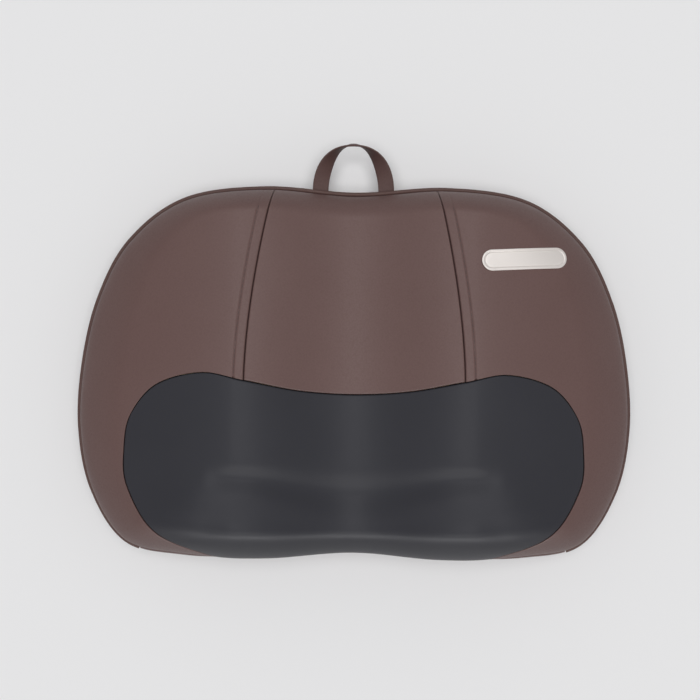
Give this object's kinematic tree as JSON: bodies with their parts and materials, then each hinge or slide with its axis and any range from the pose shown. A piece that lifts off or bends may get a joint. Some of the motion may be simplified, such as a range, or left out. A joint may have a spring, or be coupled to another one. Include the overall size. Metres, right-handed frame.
{
  "type": "shiatsu neck massager",
  "caption": "bean-shaped massage pillow in brown faux leather with a charcoal pad over kneading rotors, a carry loop and a side control panel",
  "frame": {"origin": "middle of the flat back, in the plane of the back", "axes": "+X to the user's right, +Y to the edge with the carry loop, +Z out of the massage side"},
  "size_m": [0.42, 0.3169, 0.1039],
  "materials": {
    "brown_leather": "satin",
    "loop_leather": "satin",
    "charcoal_fabric": "matte",
    "back_fabric": "matte",
    "badge_metal": "satin",
    "foam": "matte",
    "housing_plastic": "satin",
    "steel": "satin",
    "black_plastic": "satin",
    "white_nylon": "satin",
    "brass": "satin",
    "cap_rubber": "matte",
    "cell_sleeve": "gloss",
    "board_green": "satin",
    "cable_rubber": "matte",
    "wire_rubber": "matte",
    "button_plastic": "satin",
    "lens_plastic": "gloss"
  },
  "bodies": {
    "cushion": {"center_cover": "brown_leather", "left_wing_cover": "brown_leather", "right_wing_cover": "brown_leather", "massage_pad": "charcoal_fabric", "side_band": "brown_leather", "bottom_band": "brown_leather", "edge_piping": "brown_leather", "back_panel": "back_fabric", "badge": "badge_metal", "left_foam": "foam", "right_foam": "foam", "upper_foam": "foam", "center_foam": "foam", "lower_housing": "housing_plastic", "upper_housing": "housing_plastic", "housing_screws": "steel", "motor_can": "steel", "motor_end_cap": "black_plastic", "motor_clamp": "steel", "clamp_screws": "steel", "bearing_block": "housing_plastic", "worm_bush": "brass", "left_axle": "steel", "right_axle": "steel", "axle_clips": "steel", "battery_cells": "cell_sleeve", "battery_holder": "black_plastic", "circuit_board": "board_green", "board_components": "black_plastic", "control_cable": "cable_rubber", "control_bezel": "black_plastic", "control_housing": "black_plastic", "switch_board": "board_green", "tact_switches": "black_plastic", "charge_port": "steel", "status_lens": "lens_plastic", "internal_wiring": "wire_rubber"},
    "left_rotor": {"left_worm_wheel": "white_nylon", "left_hub_bush": "brass", "left_rotor_arm": "black_plastic", "left_rotor_screws": "steel", "left_head_screws": "steel"},
    "right_rotor": {"right_worm_wheel": "white_nylon", "right_hub_bush": "brass", "right_rotor_arm": "black_plastic", "right_rotor_screws": "steel", "right_head_screws": "steel"},
    "drive_shaft": {"worm": "brass", "motor_shaft": "steel"},
    "left_upper_head": {"left_upper_core": "white_nylon", "left_upper_cap": "cap_rubber"},
    "left_lower_head": {"left_lower_core": "white_nylon", "left_lower_cap": "cap_rubber"},
    "right_upper_head": {"right_upper_core": "white_nylon", "right_upper_cap": "cap_rubber"},
    "right_lower_head": {"right_lower_core": "white_nylon", "right_lower_cap": "cap_rubber"},
    "power_key": {"power_button": "button_plastic"},
    "heat_key": {"heat_button": "button_plastic"},
    "loop": {"carry_loop": "loop_leather"}
  },
  "joints": [
    {"name": "left_rotor_spin", "type": "hinge", "parent": "cushion", "child": "left_rotor", "pos_m": [-0.054, -0.064, 0.03], "axis": [0, 0, 1], "continuous": true},
    {"name": "right_rotor_spin", "type": "hinge", "parent": "cushion", "child": "right_rotor", "pos_m": [0.054, -0.064, 0.03], "axis": [0, 0, 1], "continuous": true},
    {"name": "worm_spin", "type": "hinge", "parent": "cushion", "child": "drive_shaft", "pos_m": [0, -0.064, 0.0215], "axis": [0, 1, 0], "continuous": true},
    {"name": "left_upper_head_spin", "type": "hinge", "parent": "left_rotor", "child": "left_upper_head", "pos_m": [-0.054, -0.036, 0.055], "axis": [0, 0, 1], "continuous": true},
    {"name": "left_lower_head_spin", "type": "hinge", "parent": "left_rotor", "child": "left_lower_head", "pos_m": [-0.054, -0.092, 0.055], "axis": [0, 0, 1], "continuous": true},
    {"name": "right_upper_head_spin", "type": "hinge", "parent": "right_rotor", "child": "right_upper_head", "pos_m": [0.054, -0.036, 0.055], "axis": [0, 0, 1], "continuous": true},
    {"name": "right_lower_head_spin", "type": "hinge", "parent": "right_rotor", "child": "right_lower_head", "pos_m": [0.054, -0.092, 0.055], "axis": [0, 0, 1], "continuous": true},
    {"name": "power_button_press", "type": "slide", "parent": "cushion", "child": "power_key", "axis": [-1, 0, 0], "range_m": [0, 0.0012], "stiffness_N_per_m": 400},
    {"name": "heat_button_press", "type": "slide", "parent": "cushion", "child": "heat_key", "axis": [-1, 0, 0], "range_m": [0, 0.0012], "stiffness_N_per_m": 400},
    {"name": "carry_loop_fold", "type": "hinge", "parent": "cushion", "child": "loop", "pos_m": [-0.002, 0.13858, 0.03225], "axis": [1, 0, 0], "range_deg": [-45, 60], "stiffness_Nm_per_rad": 0.02}
  ],
  "couplings": [
    {"joint": "right_rotor_spin", "follows": "left_rotor_spin", "ratio": -1},
    {"joint": "worm_spin", "follows": "left_rotor_spin", "ratio": 46}
  ]
}
